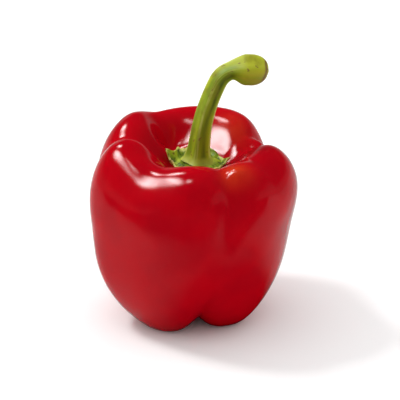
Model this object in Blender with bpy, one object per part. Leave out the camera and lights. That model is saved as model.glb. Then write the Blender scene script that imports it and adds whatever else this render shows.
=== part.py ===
"""Bell pepper.

A ripe sweet pepper with four lobes, standing on the feet of its lobes. It has three pieces:

  fruit  the lobed red body, closed all round
  calyx  the green star that sits in the hollow at the top of the fruit
  stem   the ribbed stalk that rises from the calyx, bends over and ends in its cut end

Run it in Blender 4.5. +Z is up, and the stem bends towards +X. The origin is on the surface that
the pepper stands on, under its middle. The shapes are worked out in millimetres and degrees, and
the meshes are in metres. Angles about the fruit's axis are anticlockwise from +X, seen from above.
"""

import math
from typing import NamedTuple

import bmesh
import bpy
import numpy as np

MM = 0.001
GAP = 0.3  # between two pieces that touch

# Fruit: where its axis stands, how it leans, and how flat its feet are pressed
AXIS_X = -2.4
AXIS_Y = -0.8
LEAN = 0.04  # sideways towards +X for each millimetre up
HOLLOW_SHIFT = 1.3  # the middle of the hollow lies this far to +X of the axis
FOOT_PRESS = 1.0
FRUIT_AROUND = 72
FRUIT_ALONG = 42

# Two outlines from the middle of the hollow, over the shoulder, to the blossom end. Each point is a
# distance from the axis and a height.
LOBE_OUTLINE = (
    (0, 65),
    (9.5, 64),
    (15.5, 68),
    (21.5, 73.8),
    (30.5, 78.5),
    (39.5, 74),
    (43.5, 60.5),
    (41, 43),
    (38.5, 26.5),
    (32.5, 11),
    (22.5, 0.5),
    (14, 1.5),
    (6, 3),
    (0, 6),
)
CREASE_OUTLINE = (
    (0, 65),
    (9, 63.5),
    (15.5, 66.5),
    (22.5, 72),
    (28.5, 73.5),
    (34.5, 69),
    (37, 58.5),
    (38.5, 42.5),
    (36.5, 28),
    (27.5, 15),
    (17, 8.5),
    (9.5, 7.5),
    (4.5, 6.5),
    (0, 6),
)


class Valley(NamedTuple):
    """A crease or groove. At depth 1 its bottom follows the crease outline."""

    deep_angle: float  # on the hollow's floor
    rim_angle: float
    foot_angle: float
    half_width: float
    depths: tuple  # on the hollow's wall, on the rim, on the side and at the foot
    rounding: float = 0.45  # of its bottom, as a share of the half width


class Swell(NamedTuple):
    """A lobe, or a part of one, that is fuller or higher than the outline."""

    angle: float
    half_width: float
    growth: tuple  # share added to the distance from the axis: hollow, side and foot
    shoulder_rise: float
    foot_drop: float


VALLEYS = {
    "front_to_right": Valley(291.5, 291.5, 278.5, 11.5, (0.95, 0.95, 0.75, 0.7)),
    "right_to_back": Valley(11.5, 11.5, 4, 13.5, (1.3, 1.3, 0.2, 0.9)),
    "back_to_left": Valley(122, 120, 118, 14, (0.4, 0.25, 0.5, 0.9)),
    "left_to_front": Valley(180.5, 180.5, 186, 13, (0.7, 0.7, 0.6, 0.95)),
    "front_saddle": Valley(239, 239, 239, 14, (0.8, 0.8, 0, -0.1), 1.2),
    "back_groove": Valley(36, 36, 42, 9.5, (0.4, 1, 0.3, 0.1)),
    "right_groove": Valley(323, 323, 325, 12, (0.2, 0.5, -0.05, -0.1)),
}


class Bump(NamedTuple):
    """A local rise of the skin, or a dip."""

    angle: float
    half_width: float
    way: float
    half_length: float
    rise: float


BUMPS = {
    "nub": Bump(299, 5.5, 0.345, 0.028, 1.5),
    "left_gully": Bump(121, 30, 0.215, 0.065, -7),
    "back_ridge": Bump(55, 14, 0.25, 0.05, 0.8),
    "right_gully": Bump(19, 15, 0.255, 0.055, -2.6),
}

SWELLS = {
    "front": Swell(236, 40, (0, -0.02, 0.02), -1, 0),
    "front_left": Swell(205, 15, (0, 0.07, 0.05), 4, 0),
    "front_right": Swell(265, 15, (0, 0, 0.05), 0, 0),
    "right": Swell(326, 30, (0, -0.02, 0.05), -1.5, 0),
    "back_right": Swell(22, 16, (-0.05, 0, 0), -1.5, 0),
    "left": Swell(152, 26, (-0.08, -0.01, 0), 4, 1.5),
}

# Shares of the way along the outline, from the hollow at 0 to the blossom end at 1
WALL_TO_RIM = (0.2, 0.31)
HOLLOW_TO_SIDE = (0.36, 0.52)
SIDE_TO_FOOT = (0.56, 0.8)
DEEP_DRIFT = (0.14, 0.32)
VALLEY_DRIFT = (0.45, 0.85)
RISE_STARTS = (0.08, 0.26)
RISE_ENDS = (0.34, 0.62)
DROP_STARTS = (0.62, 0.78)
DROP_ENDS = (0.86, 0.98)
HOLLOW_SHIFT_ENDS = (0.08, 0.24)
HOLLOW_ENDS = 0.25

# Calyx: a hub under the stem and a ruffled star round it
HUB_RADIUS = 7
HUB_BLEND = 3
HUB_RISE = 1.4
NOTCH_RADIUS = 11.4
NOTCH_CURL = 1
STAR_THICKNESS = 1.2
EDGE_THICKNESS = 0.7
CALYX_AROUND = 120
CALYX_ALONG = 18
RUFFLES = ((14, 20, 0.22), (23, 75, 0.2))  # count, first crest and height


class Tip(NamedTuple):
    """A point of the star."""

    angle: float
    half_width: float
    reach: float  # past the notches
    curl: float  # how much further than the notches it is lifted off the fruit


TIPS = (
    Tip(2, 13, 3, 0.3),
    Tip(60, 17, 1.6, 1.4),
    Tip(108, 17, 1.6, 1.6),
    Tip(140, 15, 2.2, 1.7),
    Tip(166, 10, 4, 0.9),
    Tip(192, 13, 2, 0.9),
    Tip(244, 16, 2, 1),
    Tip(310, 16, 2.5, 0),
)

# Stem: how it heads away from upright, how thick it is, and its ribs
STEM_LENGTH = 56
FOOT_HEADING = 6
MIDDLE_TURN = 18
BEND_TURN = 70
END_TURN = 10
MIDDLE_TURN_SPAN = (5, 36)
BEND_SPAN = (33, 46)
END_TURN_SPAN = (46, 56)
END_YAW = 15  # the end heads this far from +X towards +Y
YAW_SPAN = (30, 55)
SHAFT_RADIUS = 3.45
FLARE = 2
FLARE_FADES_OVER = 2.5
TAPER = 1.2
TAPER_FADES_OVER = 14
CLUB = 2.45  # the thick end's extra radius
CLUB_SPAN = (40.5, 47.5)
ROUNDING_STARTS = 49.5
ROUNDING_LENGTH = 7.2
CUT_DISH = 0.5
RIBS = 5
RIB_HEIGHT = 0.07  # of the radius
RIB_ANGLE = 40
STEM_AROUND = 40
STEM_ALONG = 40
FOOT_ROWS = 0.05  # share of the rows on the flat underside
CUT_ROWS = 0.1  # share of the rows on the cut end

RED = (0.46, 0.004, 0.008, 1)
LEAF_GREEN = (0.17, 0.36, 0.03, 1)
STALK_GREEN = (0.32, 0.4, 0.05, 1)


def fade(span, value):
    """0 up to the span's start, 1 from its end on, and smooth between."""
    share = np.clip((value - span[0]) / (span[1] - span[0]), 0, 1)
    return share * share * (3 - 2 * share)


def turn(angle):
    """The same angle, from -180 up to 180."""
    return (angle + 180) % 360 - 180


def bell(angle, middle, half_width):
    return np.exp(-((turn(angle - middle) / half_width) ** 2))


def through_knots(knots, way, mirror):
    """Values on a curve of continuous curvature through evenly spaced knots, from pole to pole.

    Past each pole the knots repeat backwards, with their sign changed where mirror is -1, so that
    the surface runs smoothly over the pole.
    """
    knots = np.array(knots, float)
    loop = np.concatenate([knots, mirror * knots[-2:0:-1]])
    same = np.eye(len(loop))
    weights = 4 * same + np.roll(same, 1, axis=1) + np.roll(same, -1, axis=1)
    control = np.linalg.solve(weights, 6 * loop)
    place = way * (len(knots) - 1)
    start = np.floor(place).astype(int)
    f = place - start
    basis = ((1 - f) ** 3, 3 * f**3 - 6 * f**2 + 4, 3 * (f + f**2 - f**3) + 1, f**3)
    return sum(b * control[(start + k - 1) % len(loop)] for k, b in enumerate(basis)) / 6


def outline(points, way):
    """(distance from the axis, height) along an outline of the fruit."""
    return (
        through_knots([distance for distance, _ in points], way, -1),
        through_knots([height for _, height in points], way, 1),
    )


def valley_depth(angle, way, zones):
    """How far the surface is from the lobe outline, at 0, to the crease outline, at 1."""
    depth = 0
    rising = fade(DEEP_DRIFT, way)
    sinking = fade(VALLEY_DRIFT, way)
    for valley in VALLEYS.values():
        middle = valley.deep_angle + (valley.rim_angle - valley.deep_angle) * rising
        middle = middle + (valley.foot_angle - valley.rim_angle) * sinking
        across = turn(angle - middle) / valley.half_width
        shape = np.exp(valley.rounding - np.hypot(across, valley.rounding))
        depth = depth + shape * sum(share * zone for share, zone in zip(valley.depths, zones))
    return depth


def fruit_point(angle, way):
    """A point of the fruit's skin, at an angle about its axis and a share of the way along it."""
    rim = fade(WALL_TO_RIM, way)
    side = fade(HOLLOW_TO_SIDE, way)
    foot = fade(SIDE_TO_FOOT, way)
    zones = (1 - rim, rim - side, side - foot, foot)
    lobe_distance, lobe_height = outline(LOBE_OUTLINE, way)
    crease_distance, crease_height = outline(CREASE_OUTLINE, way)
    growth_zones = (1 - side, side - foot, foot)
    depth = valley_depth(angle, way, zones)
    distance = lobe_distance + (crease_distance - lobe_distance) * depth
    height = lobe_height + (crease_height - lobe_height) * depth
    shoulder = fade(RISE_STARTS, way) * (1 - fade(RISE_ENDS, way))
    sole = fade(DROP_STARTS, way) * (1 - fade(DROP_ENDS, way))
    scale = 1
    for swell in SWELLS.values():
        share = bell(angle, swell.angle, swell.half_width)
        scale = scale + share * sum(g * zone for g, zone in zip(swell.growth, growth_zones))
        height = height + share * (swell.shoulder_rise * shoulder - swell.foot_drop * sole)
    distance = distance * scale
    for spot in BUMPS.values():
        across = bell(angle, spot.angle, spot.half_width)
        height = height + spot.rise * across * np.exp(-(((way - spot.way) / spot.half_length) ** 2))
    shift = HOLLOW_SHIFT * (1 - fade(HOLLOW_SHIFT_ENDS, way))
    x = AXIS_X + LEAN * height + shift + distance * np.cos(np.radians(angle))
    y = AXIS_Y + distance * np.sin(np.radians(angle))
    return np.stack([x, y, height - FOOT_PRESS], axis=-1)


def hollow_way(angle, radius):
    """The share of the way along the fruit where its skin is this far from the hollow's middle."""
    near = np.zeros(np.shape(radius))
    far = np.full(np.shape(radius), HOLLOW_ENDS)
    middle = fruit_point(0, np.float64(0))
    for _ in range(24):
        halfway = (near + far) / 2
        reach = np.linalg.norm((fruit_point(angle, halfway) - middle)[..., :2], axis=-1)
        near = np.where(reach < radius, halfway, near)
        far = np.where(reach < radius, far, halfway)
    return near


def hollow_surface(angle, radius):
    """The fruit's skin at a distance from the hollow's middle, and the direction out of it."""
    way = hollow_way(angle, radius)
    here = fruit_point(angle, way)
    outward = fruit_point(angle, way + 0.002) - here
    sideways = fruit_point(angle + 0.5, way) - here
    normal = np.cross(outward, sideways)
    return here, normal / np.linalg.norm(normal, axis=-1, keepdims=True)


def hub_foot():
    """The middle of the flat top of the calyx's hub, which clears the skin all round."""
    angles = np.arange(0, 360, 15)
    rim, _ = hollow_surface(angles, np.full(angles.shape, float(HUB_RADIUS)))
    foot = fruit_point(0, np.float64(0))
    foot[2] = max(foot[2], rim[:, 2].max()) + HUB_RISE
    return foot


def star_edge(angle):
    """(radius, curl) of the calyx's edge."""
    shares = [bell(angle, tip.angle, tip.half_width) for tip in TIPS]
    reach = sum(share * tip.reach for share, tip in zip(shares, TIPS))
    curl = sum(share * tip.curl for share, tip in zip(shares, TIPS))
    return NOTCH_RADIUS + reach, NOTCH_CURL + curl


def calyx_point(angle, way):
    """Points of the calyx: over its top from the middle to the edge, and back underneath."""
    share = 1 - abs(1 - 2 * way)
    edge, curl = star_edge(angle)
    radius = np.maximum(share * edge, 0.01)
    skin, normal = hollow_surface(angle, radius)
    thickness = STAR_THICKNESS + (EDGE_THICKNESS - STAR_THICKNESS) * share
    side = np.select([way < 0.5, way > 0.5], [1, 0], 0.5)
    ruffle = sum(h * (1 + np.cos(np.radians(n * (angle - first)))) for n, first, h in RUFFLES)
    lift = GAP + curl * share**3 + ruffle * share**4 + thickness * side
    point = skin + normal * lift[..., None]
    hub = side * (1 - fade((HUB_RADIUS, HUB_RADIUS + HUB_BLEND), radius))
    point[..., 2] += (hub_foot()[2] - point[..., 2]) * hub
    return point


def stem_axis(distance):
    """(points, tangents, level side directions) of the stem's middle line, along its length."""
    steps = np.linspace(0, STEM_LENGTH, 400)
    heading = np.radians(
        FOOT_HEADING
        + MIDDLE_TURN * fade(MIDDLE_TURN_SPAN, steps)
        + BEND_TURN * fade(BEND_SPAN, steps)
        + END_TURN * fade(END_TURN_SPAN, steps)
    )
    yaw = np.radians(END_YAW) * fade(YAW_SPAN, steps)
    level = np.sin(heading)
    tangents = np.stack([level * np.cos(yaw), level * np.sin(yaw), np.cos(heading)], axis=-1)
    line = np.cumsum(tangents, axis=0) * steps[1]
    sides = np.stack([-np.sin(yaw), np.cos(yaw), np.zeros(yaw.shape)], axis=-1)

    def read(values):
        return np.stack([np.interp(distance, steps, column) for column in values.T], axis=-1)

    return read(line - line[0]), read(tangents), read(sides)


def stem_radius(distance):
    """The stem's thickness: its flare on the calyx, its shaft and its rounded club of an end."""
    radius = (
        SHAFT_RADIUS
        + FLARE * np.exp(-distance / FLARE_FADES_OVER)
        + TAPER * np.exp(-distance / TAPER_FADES_OVER)
        + CLUB * fade(CLUB_SPAN, distance)
    )
    rounding = np.maximum(distance - ROUNDING_STARTS, 0) / ROUNDING_LENGTH
    return radius * np.sqrt(1 - rounding**2)


def stem_point(angle, way):
    """Points of the stem: its dished cut end, its side from end to foot, and its flat underside."""
    side_span = (CUT_ROWS, 1 - FOOT_ROWS)
    distance = np.interp(way, side_span, (STEM_LENGTH, 0))
    share = np.interp(way, (0, *side_span, 1), (0, 1, 1, 0))
    middle, tangent, side = stem_axis(distance)
    tangent = np.where((distance == 0)[..., None], (0, 0, 1), tangent)
    forward = np.cross(side, tangent)
    around = np.radians(angle)[..., None]
    spoke = forward * np.cos(around) + side * np.sin(around)
    ribs = 1 + RIB_HEIGHT * np.cos(RIBS * np.radians(angle - RIB_ANGLE))
    radius = stem_radius(distance) * share * ribs
    dish = np.where(way < CUT_ROWS, CUT_DISH * (1 - share), 0)
    foot = hub_foot() + np.array([0, 0, GAP])
    return foot + middle + spoke * radius[..., None] - tangent * dish[..., None]


def clear_scene():
    for obj in list(bpy.data.objects):
        bpy.data.objects.remove(obj)


def material(name, colour, roughness):
    made = bpy.data.materials.new(name)
    made.use_nodes = True
    shader = made.node_tree.nodes["Principled BSDF"]
    shader.inputs["Base Color"].default_value = colour
    shader.inputs["Roughness"].default_value = roughness
    shader.inputs["Metallic"].default_value = 0
    return made


def shaped_sphere(around, along, place):
    """A sphere whose vertices are moved to place(angle, way), way running from its top pole at 0."""
    mesh = bmesh.new()
    bmesh.ops.create_uvsphere(mesh, u_segments=around, v_segments=along, radius=1)
    start = np.array([vertex.co for vertex in mesh.verts])
    ring = np.rint(np.arccos(np.clip(start[:, 2], -1, 1)) / math.pi * along)
    points = place(np.degrees(np.arctan2(start[:, 1], start[:, 0])), ring / along)
    for vertex, point in zip(mesh.verts, points):
        vertex.co = point * MM
    return mesh


def press_feet(mesh):
    """Cuts the fruit off level at the surface that it stands on."""
    everything = mesh.verts[:] + mesh.edges[:] + mesh.faces[:]
    bmesh.ops.bisect_plane(
        mesh, geom=everything, plane_co=(0, 0, 0), plane_no=(0, 0, -1), clear_outer=True
    )
    bmesh.ops.holes_fill(mesh, edges=[edge for edge in mesh.edges if edge.is_boundary])
    bmesh.ops.recalc_face_normals(mesh, faces=mesh.faces[:])


def add_piece(name, mesh, finish, sharp_angle):
    data = bpy.data.meshes.new(name)
    mesh.to_mesh(data)
    mesh.free()
    data.shade_smooth()
    data.set_sharp_from_angle(angle=math.radians(sharp_angle))
    data.materials.append(finish)
    piece = bpy.data.objects.new(name, data)
    bpy.context.scene.collection.objects.link(piece)


def main():
    clear_scene()
    fruit = shaped_sphere(FRUIT_AROUND, FRUIT_ALONG, fruit_point)
    press_feet(fruit)
    add_piece("fruit", fruit, material("glossy_red_skin", RED, 0.15), 40)
    calyx = shaped_sphere(CALYX_AROUND, CALYX_ALONG, calyx_point)
    add_piece("calyx", calyx, material("calyx_green", LEAF_GREEN, 0.5), 50)
    stem = shaped_sphere(STEM_AROUND, STEM_ALONG, stem_point)
    add_piece("stem", stem, material("stalk_green", STALK_GREEN, 0.45), 50)


main()
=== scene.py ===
"""Looks of the bell pepper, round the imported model: glossy red skin, ruffled calyx and ribbed stem.

The three pieces repeat the surfaces of the CAD pieces that they stand for, with finer meshes and with
the detail that the CAD leaves out. Shapes are worked out in millimetres and degrees, and the meshes are
in metres. Angles about the fruit's axis are anticlockwise from +X, seen from above.
"""

import math
from typing import NamedTuple

import bmesh
import bpy
import numpy as np
from mathutils import Euler, Matrix, Vector

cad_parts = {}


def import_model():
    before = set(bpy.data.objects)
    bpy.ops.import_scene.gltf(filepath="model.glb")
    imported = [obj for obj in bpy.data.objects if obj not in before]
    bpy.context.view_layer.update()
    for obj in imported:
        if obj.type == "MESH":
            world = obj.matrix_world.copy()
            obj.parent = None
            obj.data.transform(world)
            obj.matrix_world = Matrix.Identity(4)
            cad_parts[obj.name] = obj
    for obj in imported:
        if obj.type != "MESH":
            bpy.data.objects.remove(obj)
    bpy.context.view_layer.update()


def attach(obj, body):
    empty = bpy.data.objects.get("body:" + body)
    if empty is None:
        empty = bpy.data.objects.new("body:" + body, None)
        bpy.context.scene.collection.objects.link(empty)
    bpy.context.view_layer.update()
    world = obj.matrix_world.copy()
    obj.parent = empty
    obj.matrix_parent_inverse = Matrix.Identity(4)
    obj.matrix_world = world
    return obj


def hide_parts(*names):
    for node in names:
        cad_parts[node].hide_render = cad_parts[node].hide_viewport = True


MM = 0.001

# Fruit, as in the CAD model. The two outlines give distance from the axis and height.
AXIS_X = -2.4
AXIS_Y = -0.8
LEAN = 0.04
HOLLOW_SHIFT = 1.3
FOOT_PRESS = 1.0
FOOT_ROUNDING = 0.3
FRUIT_AROUND = 320
FRUIT_ALONG = 176
LOBE_OUTLINE = (
    (0, 65),
    (9.5, 64),
    (15.5, 68),
    (21.5, 73.8),
    (30.5, 78.5),
    (39.5, 74),
    (43.5, 60.5),
    (41, 43),
    (38.5, 26.5),
    (32.5, 11),
    (22.5, 0.5),
    (14, 1.5),
    (6, 3),
    (0, 6),
)
CREASE_OUTLINE = (
    (0, 65),
    (9, 63.5),
    (15.5, 66.5),
    (22.5, 72),
    (28.5, 73.5),
    (34.5, 69),
    (37, 58.5),
    (38.5, 42.5),
    (36.5, 28),
    (27.5, 15),
    (17, 8.5),
    (9.5, 7.5),
    (4.5, 6.5),
    (0, 6),
)


class Valley(NamedTuple):
    """A crease or groove. At depth 1 its bottom follows the crease outline."""

    deep_angle: float  # on the hollow's floor
    rim_angle: float
    foot_angle: float
    half_width: float
    depths: tuple  # on the hollow's wall, on the rim, on the side and at the foot
    rounding: float = 0.45  # of its bottom, as a share of the half width


class Swell(NamedTuple):
    """A lobe, or a part of one, that is fuller or higher than the outline."""

    angle: float
    half_width: float
    growth: tuple  # share added to the distance from the axis: hollow, side and foot
    shoulder_rise: float
    foot_drop: float


VALLEYS = {
    "front_to_right": Valley(291.5, 291.5, 278.5, 11.5, (0.95, 0.95, 0.75, 0.7)),
    "right_to_back": Valley(11.5, 11.5, 4, 13.5, (1.3, 1.3, 0.2, 0.9)),
    "back_to_left": Valley(122, 120, 118, 14, (0.4, 0.25, 0.5, 0.9)),
    "left_to_front": Valley(180.5, 180.5, 186, 13, (0.7, 0.7, 0.6, 0.95)),
    "front_saddle": Valley(239, 239, 239, 14, (0.8, 0.8, 0, -0.1), 1.2),
    "back_groove": Valley(36, 36, 42, 9.5, (0.4, 1, 0.3, 0.1)),
    "right_groove": Valley(323, 323, 325, 12, (0.2, 0.5, -0.05, -0.1)),
}


class Bump(NamedTuple):
    """A local rise of the skin, or a dip."""

    angle: float
    half_width: float
    way: float
    half_length: float
    rise: float


BUMPS = {
    "nub": Bump(299, 5.5, 0.345, 0.028, 1.5),
    "left_gully": Bump(121, 30, 0.215, 0.065, -7),
    "back_ridge": Bump(55, 14, 0.25, 0.05, 0.8),
    "right_gully": Bump(19, 15, 0.255, 0.055, -2.6),
}

SWELLS = {
    "front": Swell(236, 40, (0, -0.02, 0.02), -1, 0),
    "front_left": Swell(205, 15, (0, 0.07, 0.05), 4, 0),
    "front_right": Swell(265, 15, (0, 0, 0.05), 0, 0),
    "right": Swell(326, 30, (0, -0.02, 0.05), -1.5, 0),
    "back_right": Swell(22, 16, (-0.05, 0, 0), -1.5, 0),
    "left": Swell(152, 26, (-0.08, -0.01, 0), 4, 1.5),
}

WALL_TO_RIM = (0.2, 0.31)
HOLLOW_TO_SIDE = (0.36, 0.52)
SIDE_TO_FOOT = (0.56, 0.8)
DEEP_DRIFT = (0.14, 0.32)
VALLEY_DRIFT = (0.45, 0.85)
RISE_STARTS = (0.08, 0.26)
RISE_ENDS = (0.34, 0.62)
DROP_STARTS = (0.62, 0.78)
DROP_ENDS = (0.86, 0.98)
HOLLOW_SHIFT_ENDS = (0.08, 0.24)
HOLLOW_ENDS = 0.25
HALVINGS = 24  # in the search for a radius in the hollow
STEP_ALONG = 0.002  # between the points that give the skin's direction
STEP_AROUND = 0.5

# Calyx, as in the CAD model
GAP = 0.3
HUB_RADIUS = 7
HUB_BLEND = 3
HUB_RISE = 1.4
HUB_SPACING = 15  # of the angles at which its rim is measured
NOTCH_RADIUS = 11.4
NOTCH_CURL = 1
STAR_THICKNESS = 1.2
EDGE_THICKNESS = 0.7
CALYX_AROUND = 360
CALYX_ALONG = 96
RUFFLES = ((14, 20, 0.22), (23, 75, 0.2), (37, 140, 0.1))  # count, first crest and height


class Tip(NamedTuple):
    """A point of the star."""

    angle: float
    half_width: float
    reach: float  # past the notches
    curl: float  # how much further than the notches it is lifted off the fruit


TIPS = (
    Tip(2, 13, 3, 0.3),
    Tip(60, 17, 1.6, 1.4),
    Tip(108, 17, 1.6, 1.6),
    Tip(140, 15, 2.2, 1.7),
    Tip(166, 10, 4, 0.9),
    Tip(192, 13, 2, 0.9),
    Tip(244, 16, 2, 1),
    Tip(310, 16, 2.5, 0),
)

# Stem, as in the CAD model
STEM_LENGTH = 56
FOOT_HEADING = 6
MIDDLE_TURN = 18
BEND_TURN = 70
END_TURN = 10
MIDDLE_TURN_SPAN = (5, 36)
BEND_SPAN = (33, 46)
END_TURN_SPAN = (46, 56)
END_YAW = 15
YAW_SPAN = (30, 55)
SHAFT_RADIUS = 3.45
FLARE = 2
FLARE_FADES_OVER = 2.5
TAPER = 1.2
TAPER_FADES_OVER = 14
CLUB = 2.45
CLUB_SPAN = (40.5, 47.5)
ROUNDING_STARTS = 49.5
ROUNDING_LENGTH = 7.2
CUT_DISH = 0.5
RIBS = 5
RIB_HEIGHT = 0.07
RIB_ANGLE = 40
STEM_AROUND = 160
STEM_ALONG = 280
LINE_STEPS = 400
FOOT_ROWS = 0.02
CUT_ROWS = 0.1

# Colours, linear
SKIN_RED = (0.42, 0.0, 0.005)
SKIN_DEEP = (0.36, 0.0, 0.005)
SKIN_ORANGE = (0.55, 0.035, 0.008)
SCAR_BROWN = (0.2, 0.12, 0.045)
CALYX_GREEN = (0.17, 0.28, 0.003)
# painted shade for the dents of the calyx's crumpled surface
CALYX_DIMPLE_SHADE = (0.025, 0.06, 0.001)
CALYX_YELLOW = (0.4, 0.48, 0.02)
CALYX_EDGE = (0.6, 0.62, 0.15)
STEM_GREEN = (0.18, 0.27, 0.003)
STEM_YELLOW = (0.38, 0.44, 0.01)
STEM_PALE = (0.52, 0.55, 0.1)
# painted shade: the green of the stem's furrow that faces away from the key light
STEM_PAINTED_SHADE = (0.028, 0.045, 0.001)
STEM_OLIVE = (0.18, 0.17, 0.006)
STEM_BASE = (0.38, 0.44, 0.05)
CLUB_YELLOW = (0.4, 0.44, 0.015)
# painted shade under the club end: green, and brown as if tinted by red light bounced off the fruit
CLUB_SHADED_GREEN = (0.19, 0.2, 0.008)
CLUB_SHADED_BROWN = (0.3, 0.14, 0.01)
SPECK_BROWN = (0.16, 0.075, 0.015)
CUT_PALE = (0.5, 0.45, 0.22)
CUT_BROWN = (0.3, 0.2, 0.08)

# Where the surfaces change
SKIN_ROUGHNESS = (0.09, 0.13)
SCAR_SPAN = (0.012, 0.035)
VEINS = 16
VEIN_WAVES = 3
VEIN_WAVE = 18
VEIN_THINNESS = 8
VEIN_STARTS = (0.3, 0.6)
VEIN_ENDS = (0.8, 1)
CREST_SPAN = (0.6, 1)
BASE_SPAN = (0.8, 3.5)  # of the stem's length
# painted shade down the stem's furrow that faces away from the key light
PAINTED_SHADE_FURROW = (290, 26)  # its angle and half width
# painted shade on the club's underside: its angle and half width
CLUB_PAINTED_SHADE = (325, 72)
CUT_SPAN = (0.085, 0.098)
RIM_PLACE = 54.3
RIM_WIDTH = 0.7


class Tint(NamedTuple):
    """An orange patch of the skin."""

    angle: float
    half_width: float
    way: float
    half_length: float
    strength: float


TINTS = (
    Tint(48, 18, 0.24, 0.06, 0.5),
    Tint(299, 9, 0.34, 0.045, 0.85),
    Tint(100, 60, 0.06, 0.07, 0.25),
)

# Camera
ELEVATION = 23.39
DISTANCE = 650
AIM = (-2.4, -0.8, 44)
FRAMING_RIGHT = 4.74
FRAMING_UP = 3.94
LENS = 143.6
SENSOR = 36


class Softbox(NamedTuple):
    """An oval light that faces the pepper."""

    azimuth: float  # anticlockwise from +X, seen from above
    elevation: float
    distance: float  # in metres, as its size
    size: tuple  # along and across
    radiance: float
    tilt: float = 0  # lifts the end that has the larger azimuth


# Studio
KEY_LIGHT = Softbox(158, 54, 1.2, (0.27, 0.27), 34)
MIRRORED_LIGHTS = {
    "mirrored_key": Softbox(188, 54, 1, (1.02, 0.4), 56, 25),
    "mirrored_back": Softbox(244, 67, 1, (0.36, 0.28), 26),
    "mirrored_side": Softbox(140, 56, 1, (0.28, 0.52), 50),
    "mirrored_window": Softbox(112, 20, 1, (0.6, 0.4), 0.7),
}
FILL_LIGHT = 1.2
FILL_FRONT = 0.5
FILL_SPAN = (-0.9, -0.2)  # of the direction's Y
WALL_LIGHT = 0.34
CEILING_LIGHT = 0.03
ROOM_LIGHT = 0.01
WALL_TOP_SPAN = (0.1, 0.3)
WALL_FRONT_SPAN = (-0.75, -0.35)
MIRRORED_EDGE = (0, 0.5)  # of a mirrored light's size, from its full light to none
FLOOR_RADIUS = 4  # in metres, as the floor's spans
FLOOR_WHITE = 0.92
FLOOR_MIRRORED = 0.6
FLOOR_FRONT_SPAN = (-0.11, -0.06)
FLOOR_SHADE = (30, -40, 0)  # the middle of the shaded part, in millimetres
FLOOR_SHADE_SPAN = (0.03, 0.065)


def fade(span, value):
    """0 up to the span's start, 1 from its end on, and smooth between."""
    share = np.clip((value - span[0]) / (span[1] - span[0]), 0, 1)
    return share * share * (3 - 2 * share)


def turn(angle):
    """The same angle, from -180 up to 180."""
    return (angle + 180) % 360 - 180


def bell(angle, middle, half_width):
    return np.exp(-((turn(angle - middle) / half_width) ** 2))


def through_knots(knots, way, mirror):
    """Values on a curve of continuous curvature through evenly spaced knots, from pole to pole.

    Past each pole the knots repeat backwards, with their sign changed where mirror is -1, so that
    the surface runs smoothly over the pole.
    """
    knots = np.array(knots, float)
    loop = np.concatenate([knots, mirror * knots[-2:0:-1]])
    same = np.eye(len(loop))
    weights = 4 * same + np.roll(same, 1, axis=1) + np.roll(same, -1, axis=1)
    control = np.linalg.solve(weights, 6 * loop)
    place = way * (len(knots) - 1)
    start = np.floor(place).astype(int)
    f = place - start
    basis = ((1 - f) ** 3, 3 * f**3 - 6 * f**2 + 4, 3 * (f + f**2 - f**3) + 1, f**3)
    return sum(b * control[(start + k - 1) % len(loop)] for k, b in enumerate(basis)) / 6


def outline(points, way):
    """(distance from the axis, height) along an outline of the fruit."""
    return (
        through_knots([distance for distance, _ in points], way, -1),
        through_knots([height for _, height in points], way, 1),
    )


def valley_depth(angle, way, zones):
    """How far the surface is from the lobe outline, at 0, to the crease outline, at 1."""
    depth = 0
    rising = fade(DEEP_DRIFT, way)
    sinking = fade(VALLEY_DRIFT, way)
    for valley in VALLEYS.values():
        middle = valley.deep_angle + (valley.rim_angle - valley.deep_angle) * rising
        middle = middle + (valley.foot_angle - valley.rim_angle) * sinking
        across = turn(angle - middle) / valley.half_width
        shape = np.exp(valley.rounding - np.hypot(across, valley.rounding))
        depth = depth + shape * sum(share * zone for share, zone in zip(valley.depths, zones))
    return depth


def fruit_point(angle, way):
    """A point of the fruit's skin, at an angle about its axis and a share of the way along it."""
    rim = fade(WALL_TO_RIM, way)
    side = fade(HOLLOW_TO_SIDE, way)
    foot = fade(SIDE_TO_FOOT, way)
    zones = (1 - rim, rim - side, side - foot, foot)
    lobe_distance, lobe_height = outline(LOBE_OUTLINE, way)
    crease_distance, crease_height = outline(CREASE_OUTLINE, way)
    growth_zones = (1 - side, side - foot, foot)
    depth = valley_depth(angle, way, zones)
    distance = lobe_distance + (crease_distance - lobe_distance) * depth
    height = lobe_height + (crease_height - lobe_height) * depth
    shoulder = fade(RISE_STARTS, way) * (1 - fade(RISE_ENDS, way))
    sole = fade(DROP_STARTS, way) * (1 - fade(DROP_ENDS, way))
    scale = 1
    for swell in SWELLS.values():
        share = bell(angle, swell.angle, swell.half_width)
        scale = scale + share * sum(g * zone for g, zone in zip(swell.growth, growth_zones))
        height = height + share * (swell.shoulder_rise * shoulder - swell.foot_drop * sole)
    distance = distance * scale
    for spot in BUMPS.values():
        across = bell(angle, spot.angle, spot.half_width)
        height = height + spot.rise * across * np.exp(-(((way - spot.way) / spot.half_length) ** 2))
    shift = HOLLOW_SHIFT * (1 - fade(HOLLOW_SHIFT_ENDS, way))
    x = AXIS_X + LEAN * height + shift + distance * np.cos(np.radians(angle))
    y = AXIS_Y + distance * np.sin(np.radians(angle))
    return np.stack([x, y, height - FOOT_PRESS], axis=-1)


def skin_point(angle, way):
    """The fruit's skin with its feet pressed flat on the floor."""
    point = fruit_point(angle, way)
    height = point[..., 2]
    point[..., 2] = (height + np.hypot(height, FOOT_ROUNDING) - FOOT_ROUNDING) / 2
    return point


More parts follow.
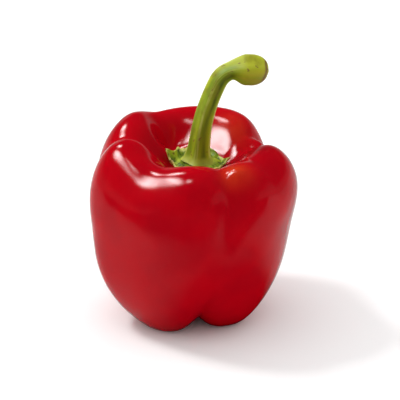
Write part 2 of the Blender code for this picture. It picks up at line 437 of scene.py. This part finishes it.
def hollow_way(angle, radius):
    """The share of the way along the fruit where its skin is this far from the hollow's middle."""
    near = np.zeros(np.shape(radius))
    far = np.full(np.shape(radius), HOLLOW_ENDS)
    middle = fruit_point(0, np.float64(0))
    for _ in range(HALVINGS):
        halfway = (near + far) / 2
        reach = np.linalg.norm((fruit_point(angle, halfway) - middle)[..., :2], axis=-1)
        near = np.where(reach < radius, halfway, near)
        far = np.where(reach < radius, far, halfway)
    return near


def hollow_surface(angle, radius):
    """The fruit's skin at a distance from the hollow's middle, and the direction out of it."""
    way = hollow_way(angle, radius)
    here = fruit_point(angle, way)
    outward = fruit_point(angle, way + STEP_ALONG) - here
    sideways = fruit_point(angle + STEP_AROUND, way) - here
    normal = np.cross(outward, sideways)
    return here, normal / np.linalg.norm(normal, axis=-1, keepdims=True)


def hub_foot():
    """The middle of the flat top of the calyx's hub, which clears the skin all round."""
    angles = np.arange(0, 360, HUB_SPACING)
    rim, _ = hollow_surface(angles, np.full(angles.shape, float(HUB_RADIUS)))
    foot = fruit_point(0, np.float64(0))
    foot[2] = max(foot[2], rim[:, 2].max()) + HUB_RISE
    return foot


def star_edge(angle):
    """(radius, curl) of the calyx's edge."""
    shares = [bell(angle, tip.angle, tip.half_width) for tip in TIPS]
    reach = sum(share * tip.reach for share, tip in zip(shares, TIPS))
    curl = sum(share * tip.curl for share, tip in zip(shares, TIPS))
    return NOTCH_RADIUS + reach, NOTCH_CURL + curl


def calyx_point(angle, way):
    """Points of the calyx: over its top from the middle to the edge, and back underneath."""
    share = 1 - abs(1 - 2 * way)
    edge, curl = star_edge(angle)
    radius = np.maximum(share * edge, 0.01)
    skin, normal = hollow_surface(angle, radius)
    thickness = STAR_THICKNESS + (EDGE_THICKNESS - STAR_THICKNESS) * share
    side = np.select([way < 0.5, way > 0.5], [1, 0], 0.5)
    ruffle = sum(h * (1 + np.cos(np.radians(n * (angle - first)))) for n, first, h in RUFFLES)
    lift = GAP + curl * share**3 + ruffle * share**4 + thickness * side
    point = skin + normal * lift[..., None]
    hub = side * (1 - fade((HUB_RADIUS, HUB_RADIUS + HUB_BLEND), radius))
    point[..., 2] += (hub_foot()[2] - point[..., 2]) * hub
    return point


def stem_axis(distance):
    """(points, tangents, level side directions) of the stem's middle line, along its length."""
    steps = np.linspace(0, STEM_LENGTH, LINE_STEPS)
    heading = np.radians(
        FOOT_HEADING
        + MIDDLE_TURN * fade(MIDDLE_TURN_SPAN, steps)
        + BEND_TURN * fade(BEND_SPAN, steps)
        + END_TURN * fade(END_TURN_SPAN, steps)
    )
    yaw = np.radians(END_YAW) * fade(YAW_SPAN, steps)
    level = np.sin(heading)
    tangents = np.stack([level * np.cos(yaw), level * np.sin(yaw), np.cos(heading)], axis=-1)
    line = np.cumsum(tangents, axis=0) * steps[1]
    sides = np.stack([-np.sin(yaw), np.cos(yaw), np.zeros(yaw.shape)], axis=-1)

    def read(values):
        return np.stack([np.interp(distance, steps, column) for column in values.T], axis=-1)

    return read(line - line[0]), read(tangents), read(sides)


def stem_radius(distance):
    """The stem's thickness: its flare on the calyx, its shaft and its rounded club of an end."""
    radius = (
        SHAFT_RADIUS
        + FLARE * np.exp(-distance / FLARE_FADES_OVER)
        + TAPER * np.exp(-distance / TAPER_FADES_OVER)
        + CLUB * fade(CLUB_SPAN, distance)
    )
    rounding = np.maximum(distance - ROUNDING_STARTS, 0) / ROUNDING_LENGTH
    return radius * np.sqrt(1 - rounding**2)


def stem_point(angle, way):
    """Points of the stem: its dished cut end, its side from end to foot, and its flat underside."""
    side_span = (CUT_ROWS, 1 - FOOT_ROWS)
    distance = np.interp(way, side_span, (STEM_LENGTH, 0))
    share = np.interp(way, (0, *side_span, 1), (0, 1, 1, 0))
    middle, tangent, side = stem_axis(distance)
    tangent = np.where((distance == 0)[..., None], (0, 0, 1), tangent)
    forward = np.cross(side, tangent)
    around = np.radians(angle)[..., None]
    spoke = forward * np.cos(around) + side * np.sin(around)
    ribs = 1 + RIB_HEIGHT * np.cos(RIBS * np.radians(angle - RIB_ANGLE))
    radius = stem_radius(distance) * share * ribs
    dish = np.where(way < CUT_ROWS, CUT_DISH * (1 - share), 0)
    foot = hub_foot() + np.array([0, 0, GAP])
    return foot + middle + spoke * radius[..., None] - tangent * dish[..., None]


def closed_mesh(name, around, along, place):
    """A mesh of rings round place(angle, way), closed at both poles, and each vertex's angle and way."""
    angle = np.concatenate([[0], np.tile(np.arange(around) * 360 / around, along - 1), [0]])
    way = np.concatenate([[0], np.repeat(np.arange(1, along) / along, around), [1]])
    first = 1 + np.arange(around)
    beside = 1 + (np.arange(around) + 1) % around
    last = len(way) - 1
    below = last - around - 1
    faces = [(0, a, b) for a, b in zip(first, beside)]
    for ring in range(along - 2):
        upper = ring * around
        lower = upper + around
        faces += zip(upper + first, lower + first, lower + beside, upper + beside)
    faces += [(below + a, last, below + b) for a, b in zip(first, beside)]
    data = bpy.data.meshes.new(name)
    data.from_pydata(place(angle, way) * MM, [], [tuple(map(int, face)) for face in faces])
    return data, angle, way


def add_piece(data, node, finish, sharp_angle):
    """Makes a piece of a mesh, in place of a CAD node."""
    data.shade_smooth()
    data.set_sharp_from_angle(angle=math.radians(sharp_angle))
    data.materials.append(finish)
    piece = bpy.data.objects.new(data.name, data)
    bpy.context.scene.collection.objects.link(piece)
    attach(piece, "root")
    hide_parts(node)


def join(tree, source, target):
    """Feeds a socket from another socket, or sets it to a value."""
    if isinstance(source, bpy.types.NodeSocket):
        tree.links.new(source, target)
    else:
        target.default_value = source


def map_range(tree, source, span, values=(0, 1)):
    """Takes a number from one range smoothly to another, and stays at its ends past them."""
    node = tree.nodes.new("ShaderNodeMapRange")
    node.interpolation_type = "SMOOTHSTEP"
    node.inputs["From Min"].default_value, node.inputs["From Max"].default_value = span
    node.inputs["To Min"].default_value, node.inputs["To Max"].default_value = values
    join(tree, source, node.inputs["Value"])
    return node.outputs["Result"]


def multiply(tree, first, second):
    node = tree.nodes.new("ShaderNodeMath")
    node.operation = "MULTIPLY"
    join(tree, first, node.inputs[0])
    join(tree, second, node.inputs[1])
    return node.outputs["Value"]


def mix_values(tree, share, first, second):
    node = tree.nodes.new("ShaderNodeMix")
    join(tree, share, node.inputs["Factor"])
    join(tree, first, node.inputs["A"])
    join(tree, second, node.inputs["B"])
    return node.outputs["Result"]


def mix_colours(tree, share, first, second):
    """A colour between two, each of them a socket or red, green and blue."""
    node = tree.nodes.new("ShaderNodeMix")
    node.data_type = "RGBA"
    join(tree, share, node.inputs["Factor"])
    colours = [socket for socket in node.inputs if socket.type == "RGBA"]
    for value, socket in zip((first, second), colours):
        join(tree, value if isinstance(value, bpy.types.NodeSocket) else (*value, 1), socket)
    return next(socket for socket in node.outputs if socket.type == "RGBA")


def read_attribute(tree, name, output="Fac"):
    node = tree.nodes.new("ShaderNodeAttribute")
    node.attribute_name = name
    return node.outputs[output]


def object_place(tree):
    """The place on the piece, in metres."""
    return tree.nodes.new("ShaderNodeTexCoord").outputs["Object"]


def stretch(tree, place, factors):
    """Multiplies a place's coordinates by three factors."""
    node = tree.nodes.new("ShaderNodeVectorMath")
    node.operation = "MULTIPLY"
    join(tree, place, node.inputs[0])
    node.inputs[1].default_value = factors
    return node.outputs["Vector"]


def cloud(tree, place, scale, detail=3):
    """Soft noise, mostly between 0.3 and 0.7."""
    node = tree.nodes.new("ShaderNodeTexNoise")
    node.inputs["Scale"].default_value = scale
    node.inputs["Detail"].default_value = detail
    join(tree, place, node.inputs["Vector"])
    return node.outputs["Fac"]


def bump(tree, height, depth, below=None):
    """A bumpy normal, of a depth in millimetres, over another where there is one."""
    node = tree.nodes.new("ShaderNodeBump")
    node.inputs["Distance"].default_value = depth * MM
    join(tree, height, node.inputs["Height"])
    if below:
        join(tree, below, node.inputs["Normal"])
    return node.outputs["Normal"]


def new_material(name, roughness, specular):
    """A material and its shader."""
    made = bpy.data.materials.new(name)
    made.use_nodes = True
    shader = made.node_tree.nodes["Principled BSDF"]
    shader.inputs["Roughness"].default_value = roughness
    shader.inputs["Specular IOR Level"].default_value = specular
    return made, shader


def skin_material():
    """Waxy red, a little uneven, with orange tints and a dry scar under the fruit."""
    made, shader = new_material("red_skin", 0.18, 0.25)
    tree = made.node_tree
    place = object_place(tree)
    patches = map_range(tree, cloud(tree, place, 55), (0.35, 0.65))
    colour = mix_colours(tree, patches, SKIN_DEEP, SKIN_RED)
    blotches = map_range(tree, cloud(tree, place, 130), (0.3, 0.6), (0.55, 1))
    tint = multiply(tree, read_attribute(tree, "tint"), blotches)
    colour = mix_colours(tree, tint, colour, SKIN_ORANGE)
    dots = map_range(tree, cloud(tree, place, 1600), (0.6, 0.75), (0, 0.12))
    colour = mix_colours(tree, dots, colour, SKIN_ORANGE)
    ragged = map_range(tree, cloud(tree, place, 400), (0.3, 0.7), (0.6, 1.4))
    scar = map_range(tree, multiply(tree, read_attribute(tree, "scar"), ragged), (0.35, 0.6))
    colour = mix_colours(tree, scar, colour, SCAR_BROWN)
    join(tree, colour, shader.inputs["Base Color"])
    waxy = map_range(tree, cloud(tree, place, 90), (0.3, 0.7), SKIN_ROUGHNESS)
    join(tree, mix_values(tree, scar, waxy, 0.8), shader.inputs["Roughness"])
    dents = bump(tree, cloud(tree, place, 110, 1), 0.25)
    pores = bump(tree, cloud(tree, place, 2200, 1), 0.01, dents)
    join(tree, pores, shader.inputs["Normal"])
    shader.inputs["IOR"].default_value = 1.4
    return made


def calyx_material():
    """Green and crumpled, with veins, painted shade in its dimples and a thin pale edge."""
    made, shader = new_material("calyx_green", 0.5, 0.2)
    tree = made.node_tree
    place = object_place(tree)
    dimples = cloud(tree, place, 420, 2)
    # painted shade: darker green in the dents of the crumpled bump
    colour = mix_colours(tree, map_range(tree, dimples, (0.36, 0.56)), CALYX_DIMPLE_SHADE, CALYX_GREEN)
    yellow = map_range(tree, cloud(tree, place, 190), (0.42, 0.62))
    colour = mix_colours(tree, yellow, colour, CALYX_YELLOW)
    veins = read_attribute(tree, "veins")
    colour = mix_colours(tree, multiply(tree, veins, 0.5), colour, CALYX_YELLOW)
    out = read_attribute(tree, "out")
    worn = multiply(tree, out, map_range(tree, cloud(tree, place, 300), (0.3, 0.6), (0.9, 1.06)))
    colour = mix_colours(tree, map_range(tree, worn, (0.9, 0.97)), colour, CALYX_EDGE)
    brown = map_range(tree, multiply(tree, worn, dimples), (0.56, 0.66))
    colour = mix_colours(tree, brown, colour, SPECK_BROWN)
    join(tree, colour, shader.inputs["Base Color"])
    creased = bump(tree, dimples, 0.5)
    join(tree, bump(tree, veins, 0.15, creased), shader.inputs["Normal"])
    return made


def stem_material():
    """Green with pale ridges, painted shade down the furrow away from the key light and under the club
    end, brown specks, and a dry cut at the end.
    """
    made, shader = new_material("stem_green", 0.5, 0.15)
    tree = made.node_tree
    place = read_attribute(tree, "straight", "Vector")
    streaks = cloud(tree, stretch(tree, place, (1, 1, 0.12)), 0.9)
    fine = cloud(tree, stretch(tree, place, (1, 1, 0.06)), 3.2)
    colour = mix_colours(tree, map_range(tree, streaks, (0.35, 0.65)), STEM_GREEN, STEM_YELLOW)
    ridge = multiply(tree, read_attribute(tree, "ridge"), map_range(tree, fine, (0.35, 0.6)))
    colour = mix_colours(tree, ridge, colour, STEM_PALE)
    dim = map_range(tree, streaks, (0.3, 0.7), (1, 0.6))
    # painted shade down the furrow that faces away from the key light
    painted_shade_furrow = multiply(tree, read_attribute(tree, "painted_shade_furrow"), dim)
    colour = mix_colours(tree, painted_shade_furrow, colour, STEM_PAINTED_SHADE)
    colour = mix_colours(tree, read_attribute(tree, "base"), colour, STEM_BASE)
    low = map_range(tree, streaks, (0.35, 0.6))
    # painted shade under the club end, green and brown, with red bounce light painted in
    painted_shade_under = mix_colours(tree, low, CLUB_SHADED_GREEN, CLUB_SHADED_BROWN)
    club = mix_colours(tree, read_attribute(tree, "painted_shade_under"), CLUB_YELLOW, painted_shade_under)
    colour = mix_colours(tree, read_attribute(tree, "club"), colour, club)
    mottled = map_range(tree, cloud(tree, place, 0.55), (0.5, 0.68), (0, 0.6))
    colour = mix_colours(tree, mottled, colour, STEM_OLIVE)
    spots = cloud(tree, stretch(tree, place, (1, 1, 0.5)), 2.6, 2)
    specks = map_range(tree, spots, (0.66, 0.72), (0, 0.75))
    colour = mix_colours(tree, specks, colour, SPECK_BROWN)
    dry = mix_colours(tree, map_range(tree, cloud(tree, place, 1.6), (0.4, 0.6)), CUT_PALE, CUT_BROWN)
    colour = mix_colours(tree, read_attribute(tree, "cut"), colour, dry)
    colour = mix_colours(tree, read_attribute(tree, "rim"), colour, SPECK_BROWN)
    join(tree, colour, shader.inputs["Base Color"])
    roughness = mix_values(tree, read_attribute(tree, "cut"), 0.5, 0.85)
    join(tree, roughness, shader.inputs["Roughness"])
    fibres = bump(tree, fine, 0.12)
    join(tree, bump(tree, specks, 0.08, fibres), shader.inputs["Normal"])
    return made


def write_attribute(data, name, values):
    """Gives a mesh a number or a vector at each vertex, for its material."""
    if values.ndim == 1:
        data.attributes.new(name, "FLOAT", "POINT").data.foreach_set("value", values)
    else:
        data.attributes.new(name, "FLOAT_VECTOR", "POINT").data.foreach_set("vector", values.ravel())


def add_fruit():
    data, angle, way = closed_mesh("pepper_skin", FRUIT_AROUND, FRUIT_ALONG, skin_point)
    tint = 0
    for patch in TINTS:
        across = bell(angle, patch.angle, patch.half_width)
        tint = tint + patch.strength * across * np.exp(-(((way - patch.way) / patch.half_length) ** 2))
    write_attribute(data, "tint", np.clip(tint, 0, 1))
    write_attribute(data, "scar", 1 - fade(SCAR_SPAN, 1 - way))
    add_piece(data, "fruit", skin_material(), 60)


def add_calyx():
    data, angle, way = closed_mesh("pepper_calyx", CALYX_AROUND, CALYX_ALONG, calyx_point)
    out = 1 - abs(1 - 2 * way)
    wave = VEIN_WAVE * np.sin(np.radians(VEIN_WAVES * angle))
    veins = np.cos(np.radians(VEINS * angle + wave)) ** VEIN_THINNESS
    write_attribute(data, "out", out)
    write_attribute(data, "veins", veins * fade(VEIN_STARTS, out) * (1 - fade(VEIN_ENDS, out)))
    add_piece(data, "calyx", calyx_material(), 80)


def add_stem():
    data, angle, way = closed_mesh("pepper_stem", STEM_AROUND, STEM_ALONG, stem_point)
    distance = np.interp(way, (CUT_ROWS, 1 - FOOT_ROWS), (STEM_LENGTH, 0))
    around = np.radians(angle)
    straight = np.stack([np.cos(around), np.sin(around), distance / SHAFT_RADIUS], axis=-1)
    crest = np.cos(RIBS * np.radians(angle - RIB_ANGLE))
    shaft = fade(BASE_SPAN, distance) * (1 - fade(CLUB_SPAN, distance))
    write_attribute(data, "straight", straight * np.where(way < CUT_ROWS, way / CUT_ROWS, 1)[:, None])
    write_attribute(data, "ridge", fade(CREST_SPAN, crest) * shaft)
    # painted shade: where the furrow away from the key light is darkened
    write_attribute(data, "painted_shade_furrow", bell(angle, *PAINTED_SHADE_FURROW) * shaft)
    write_attribute(data, "base", 1 - fade(BASE_SPAN, distance))
    write_attribute(data, "club", fade(CLUB_SPAN, distance))
    # painted shade: where the club's underside is darkened
    write_attribute(data, "painted_shade_under", bell(angle, *CLUB_PAINTED_SHADE))
    write_attribute(data, "cut", 1 - fade(CUT_SPAN, way))
    write_attribute(data, "rim", np.exp(-(((distance - RIM_PLACE) / RIM_WIDTH) ** 2)))
    add_piece(data, "stem", stem_material(), 80)


def add_camera():
    data = bpy.data.cameras.new("camera")
    data.lens = LENS
    data.sensor_width = SENSOR
    camera = bpy.data.objects.new("camera", data)
    bpy.context.scene.collection.objects.link(camera)
    camera.rotation_euler = Euler((math.radians(90 - ELEVATION), 0, 0))
    turned = camera.rotation_euler.to_matrix()
    camera.location = (Vector(AIM) + turned @ Vector((FRAMING_RIGHT, FRAMING_UP, DISTANCE))) * MM
    bpy.context.scene.camera = camera


def add_softbox(name, box):
    width, height = box.size
    data = bpy.data.lights.new(name, "AREA")
    data.shape = "ELLIPSE"
    data.size = width
    data.size_y = height
    data.energy = box.radiance * width * height * math.pi**2 / 4
    light = bpy.data.objects.new(name, data)
    bpy.context.scene.collection.objects.link(light)
    angles = (math.radians(a) for a in (box.tilt, -box.elevation, box.azimuth))
    place = Euler(tuple(angles)).to_matrix()
    outward = place @ Vector((1, 0, 0))
    along = place @ Vector((0, 1, 0))
    turned = Matrix((along, outward.cross(along), outward)).transposed().to_4x4()
    light.matrix_world = Matrix.Translation(Vector(AIM) * MM + outward * box.distance) @ turned
    light.visible_camera = False
    return light


def soften_edge(light):
    """Lets an oval light fade from its middle to its rim."""
    light.data.use_nodes = True
    tree = light.data.node_tree
    place = tree.nodes.new("ShaderNodeNewGeometry").outputs["Parametric"]
    distance = tree.nodes.new("ShaderNodeVectorMath")
    distance.operation = "DISTANCE"
    join(tree, place, distance.inputs[0])
    distance.inputs[1].default_value = (0.5, 0.5, 0)
    strength = map_range(tree, distance.outputs["Value"], MIRRORED_EDGE, (1, 0))
    join(tree, strength, tree.nodes["Emission"].inputs["Strength"])


def add_world():
    """White to the camera, an even fill for matt surfaces, and a dim room with pale walls to mirror."""
    world = bpy.data.worlds.new("studio")
    world.use_nodes = True
    world.cycles.sampling_method = "NONE"
    tree = world.node_tree
    path = tree.nodes.new("ShaderNodeLightPath")
    way = tree.nodes.new("ShaderNodeTexCoord")
    parts = tree.nodes.new("ShaderNodeSeparateXYZ")
    join(tree, way.outputs["Generated"], parts.inputs["Vector"])
    wall_top = map_range(tree, parts.outputs["Z"], WALL_TOP_SPAN, (WALL_LIGHT, CEILING_LIGHT))
    behind = map_range(tree, parts.outputs["Y"], WALL_FRONT_SPAN, (0, 1))
    mirrored = mix_values(tree, behind, ROOM_LIGHT, wall_top)
    fill = map_range(tree, parts.outputs["Y"], FILL_SPAN, (FILL_FRONT, FILL_LIGHT))
    unseen = mix_values(tree, path.outputs["Is Glossy Ray"], fill, mirrored)
    strength = mix_values(tree, path.outputs["Is Camera Ray"], unseen, 1)
    join(tree, strength, tree.nodes["Background"].inputs["Strength"])
    tree.nodes["Background"].inputs["Color"].default_value = (1, 1, 1, 1)
    bpy.context.scene.world = world


def floor_material():
    """White, but dimmer in reflections, and there dark in front and where the pepper shades it."""
    made, shader = new_material("white_table", 0.9, 0)
    tree = made.node_tree
    place = object_place(tree)
    parts = tree.nodes.new("ShaderNodeSeparateXYZ")
    join(tree, place, parts.inputs["Vector"])
    front = map_range(tree, parts.outputs["Y"], FLOOR_FRONT_SPAN)
    away = tree.nodes.new("ShaderNodeVectorMath")
    away.operation = "DISTANCE"
    join(tree, place, away.inputs[0])
    away.inputs[1].default_value = Vector(FLOOR_SHADE) * MM
    lit = multiply(tree, front, map_range(tree, away.outputs["Value"], FLOOR_SHADE_SPAN))
    path = tree.nodes.new("ShaderNodeLightPath")
    dimmed = multiply(tree, lit, FLOOR_MIRRORED)
    white = mix_values(tree, path.outputs["Is Glossy Ray"], 1, dimmed)
    colour = mix_colours(tree, white, (0, 0, 0), (FLOOR_WHITE, FLOOR_WHITE, FLOOR_WHITE))
    join(tree, colour, shader.inputs["Base Color"])
    return made


def add_floor():
    mesh = bmesh.new()
    bmesh.ops.create_circle(mesh, cap_ends=True, segments=96, radius=FLOOR_RADIUS)
    data = bpy.data.meshes.new("floor")
    mesh.to_mesh(data)
    mesh.free()
    data.materials.append(floor_material())
    floor = bpy.data.objects.new("floor", data)
    bpy.context.scene.collection.objects.link(floor)


def main():
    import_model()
    bpy.context.scene.view_settings.view_transform = "Standard"
    add_fruit()
    add_calyx()
    add_stem()
    add_camera()
    add_world()
    add_floor()
    add_softbox("key", KEY_LIGHT).visible_glossy = False
    for name, box in MIRRORED_LIGHTS.items():
        light = add_softbox(name, box)
        light.visible_diffuse = False
        soften_edge(light)


main()
